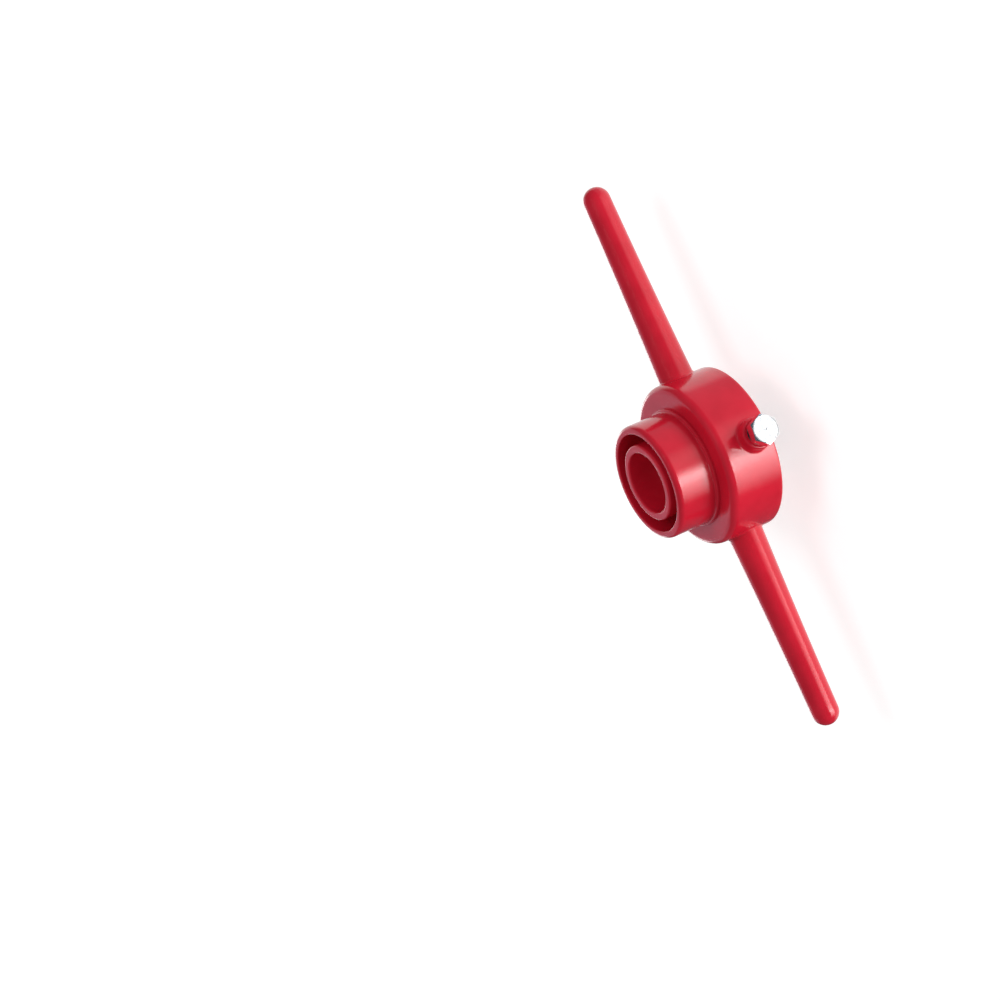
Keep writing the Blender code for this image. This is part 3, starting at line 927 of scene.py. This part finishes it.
def reflected_only(thing, material):
    """Only reflections see it, so it adds no light of its own."""
    material.cycles.emission_sampling = "NONE"
    fill_slots(thing, material)
    thing.visible_camera = False
    thing.visible_diffuse = False
    thing.visible_transmission = False
    thing.visible_volume_scatter = False
    thing.visible_shadow = False


def make_card(name, place, target, width, height, strength, soft, rise=None, fall=None, tint=WHITE):
    """Soft box that draws a highlight.

    It brightens over the rise and dims again over the fall, both from place to place along its own
    width, and fades towards its upper and lower edges over the soft share of its height.
    """
    shape = bmesh.new()
    bmesh.ops.create_grid(shape, x_segments=1, y_segments=1, size=0.5)
    bmesh.ops.scale(shape, verts=shape.verts, vec=(width, height, 1.0))
    card = new_object(name, mesh_of(shape, name), Matrix.Translation(place) @ facing(target - place))
    material = bpy.data.materials.new(name)
    tree, output = empty_tree(material, "ShaderNodeOutputMaterial")
    glow = tree.nodes.new("ShaderNodeEmission")
    glow.inputs["Color"].default_value = tint
    where = tree.nodes.new("ShaderNodeTexCoord")
    split = tree.nodes.new("ShaderNodeSeparateXYZ")
    tree.links.new(where.outputs["Object"], split.inputs[0])
    from_middle = tree.nodes.new("ShaderNodeMath")
    from_middle.operation = "ABSOLUTE"
    tree.links.new(split.outputs["Y"], from_middle.inputs[0])
    half = width / 2
    level = None
    for value, (dark, full) in (
        (split.outputs["X"], rise or (-half, -half * CARD_FULL_SHARE)),
        (split.outputs["X"], fall or (half, half * CARD_FULL_SHARE)),
        (from_middle.outputs[0], (height / 2, height / 2 * (1 - soft))),
    ):
        ramp = tree.nodes.new("ShaderNodeMapRange")
        ramp.interpolation_type = "SMOOTHSTEP"
        ramp.inputs["From Min"].default_value = dark
        ramp.inputs["From Max"].default_value = full
        tree.links.new(value, ramp.inputs["Value"])
        product = tree.nodes.new("ShaderNodeMath")
        product.operation = "MULTIPLY"
        if level is None:
            product.inputs[0].default_value = strength
        else:
            tree.links.new(level, product.inputs[0])
        tree.links.new(ramp.outputs["Result"], product.inputs[1])
        level = product.outputs[0]
    tree.links.new(level, glow.inputs["Strength"])
    # The rest of the card is clear, so that what stands behind it still shows in its soft edges
    clear = tree.nodes.new("ShaderNodeBsdfTransparent")
    both = tree.nodes.new("ShaderNodeAddShader")
    tree.links.new(glow.outputs[0], both.inputs[0])
    tree.links.new(clear.outputs[0], both.inputs[1])
    tree.links.new(both.outputs[0], output.inputs["Surface"])
    reflected_only(card, material)


def make_dim_side():
    """Dim walls of the studio, with soft openings to the ground and to a round of the white backdrop."""
    shape = bmesh.new()
    bmesh.ops.create_uvsphere(shape, u_segments=72, v_segments=36, radius=WALLS_RADIUS)
    walls = new_object("dim_side", mesh_of(shape, "dim_side"))
    material = bpy.data.materials.new("dim_side")
    tree, output = empty_tree(material, "ShaderNodeOutputMaterial")
    glow = tree.nodes.new("ShaderNodeEmission")
    glow.inputs["Color"].default_value = (0.85, 0.95, 1.20, 1.0)
    glow.inputs["Strength"].default_value = WALLS_GLOW
    clear = tree.nodes.new("ShaderNodeBsdfTransparent")
    where = tree.nodes.new("ShaderNodeTexCoord")
    opened = tree.nodes.new("ShaderNodeMath")
    opened.operation = "MAXIMUM"
    for socket, way, closed, full in (
        (opened.inputs[0], Vector((0.0, 0.0, -1.0)), 0.45, 0.75),
        (opened.inputs[1], toward(60.0, -25.0, 1.0), 0.67, 0.88),
    ):
        along = tree.nodes.new("ShaderNodeVectorMath")
        along.operation = "DOT_PRODUCT"
        along.inputs[1].default_value = way
        tree.links.new(where.outputs["Object"], along.inputs[0])
        ramp = tree.nodes.new("ShaderNodeMapRange")
        ramp.interpolation_type = "SMOOTHSTEP"
        ramp.inputs["From Min"].default_value = closed * WALLS_RADIUS
        ramp.inputs["From Max"].default_value = full * WALLS_RADIUS
        tree.links.new(along.outputs["Value"], ramp.inputs["Value"])
        tree.links.new(ramp.outputs["Result"], socket)
    mixed = tree.nodes.new("ShaderNodeMixShader")
    tree.links.new(opened.outputs[0], mixed.inputs["Fac"])
    tree.links.new(glow.outputs[0], mixed.inputs[1])
    tree.links.new(clear.outputs[0], mixed.inputs[2])
    tree.links.new(mixed.outputs[0], output.inputs["Surface"])
    reflected_only(walls, material)


def make_light(name, place, size, power):
    """Round soft lamp that lights the object. Reflections don't show it: they show the cards."""
    light = bpy.data.lights.new(name, "AREA")
    light.shape = "DISK"
    light.size = size
    light.energy = power
    lamp = bpy.data.objects.new(name, light)
    bpy.context.scene.collection.objects.link(lamp)
    lamp.matrix_world = Matrix.Translation(place) @ facing(place)
    lamp.visible_glossy = False
    lamp.visible_camera = False


def make_world():
    """Pale studio: white as a background, and less than half as bright where it lights."""
    world = bpy.data.worlds.new("studio")
    bpy.context.scene.world = world
    tree, output = empty_tree(world, "ShaderNodeOutputWorld")
    shown = tree.nodes.new("ShaderNodeBackground")
    shown.inputs["Color"].default_value = WHITE
    shown.inputs["Strength"].default_value = 1.0
    lighting = tree.nodes.new("ShaderNodeBackground")
    lighting.inputs["Color"].default_value = WHITE
    lighting.inputs["Strength"].default_value = WORLD_LIGHT
    split = tree.nodes.new("ShaderNodeMixShader")
    tree.links.new(background_rays(tree), split.inputs["Fac"])
    tree.links.new(lighting.outputs[0], split.inputs[1])
    tree.links.new(shown.outputs[0], split.inputs[2])
    tree.links.new(split.outputs[0], output.inputs["Surface"])


def make_camera():
    """Camera at the photo's viewpoint, from its own three directions."""
    lens = bpy.data.cameras.new("camera")
    lens.sensor_width = 36.0
    lens.lens = CAMERA_LENS
    lens.clip_start = 0.05
    lens.clip_end = 50.0
    camera = bpy.data.objects.new("camera", lens)
    bpy.context.scene.collection.objects.link(camera)
    right = CAMERA_RIGHT.normalized()
    up = CAMERA_UP.normalized()
    back = CAMERA_BACK.normalized()
    turn = Matrix((right, up, back)).transposed().to_4x4()
    place = right * CAMERA_PLACE[0] + up * CAMERA_PLACE[1] + back * CAMERA_PLACE[2]
    camera.matrix_world = Matrix.Translation(place + Vector((0.0, AXIS_Y, 0.0))) @ turn
    bpy.context.scene.camera = camera


make_hub()
make_handle("handle_upper", "handle_right", 1)
make_handle("handle_lower", "handle_left", -1)
make_bead("paint_bead_upper", 1)
make_bead("paint_bead_lower", -1)
make_barrel()
make_guide()
make_die()
make_bolt()
make_floor()
make_world()
make_camera()
make_light("key", toward(-80.0, -33.0, 1.6), size=0.9, power=16.2)
make_light("top", toward(-50.0, 60.0, 1.6), size=0.8, power=5.0)
make_light("left", Vector((-0.42, -0.26, -0.22)), size=0.30, power=1.30)
make_light("rear", toward(90.0, 8.0, 1.6), size=1.0, power=8.0)
make_dim_side()

middle = Vector((0.0, 0.0, 0.0))
make_card(
    "card_side",
    toward(-125.0, -27.0, 1.5),
    middle,
    width=2.8,
    height=1.1,
    strength=6.9,
    soft=0.3,
    rise=(-0.86, -0.30),
    fall=(1.05, -0.45),
)
make_card(
    "card_under",
    toward(-88.0, -24.0, 1.5),
    middle,
    width=2.0,
    height=1.6,
    strength=1.00,
    soft=1.0,
    rise=(-1.0, -0.35),
    fall=(1.0, 0.35),
)
make_card(
    "card_right",
    toward(-20.0, -24.0, 1.6),
    middle,
    width=3.0,
    height=1.5,
    strength=0.30,
    soft=0.6,
    tint=(0.94, 0.98, 1.10, 1.0),
)
make_card(
    "card_behind",
    toward(88.0, 28.0, 1.7),
    middle,
    width=2.8,
    height=1.5,
    strength=0.40,
    soft=0.5,
    tint=(0.9, 0.96, 1.2, 1.0),
)
make_card("card_rim", toward(88.0, 3.0, 1.5), middle, width=1.2, height=0.36, strength=3.0, soft=0.3)
make_card(
    "card_low",
    Vector((-0.16, -0.50, -0.13)),
    Vector((-0.16, 0.0, 0.012)),
    width=0.36,
    height=0.42,
    strength=3.0,
    soft=1.0,
    rise=(-0.06, 0.03),
)

scene = bpy.context.scene
scene.view_settings.view_transform = "Standard"
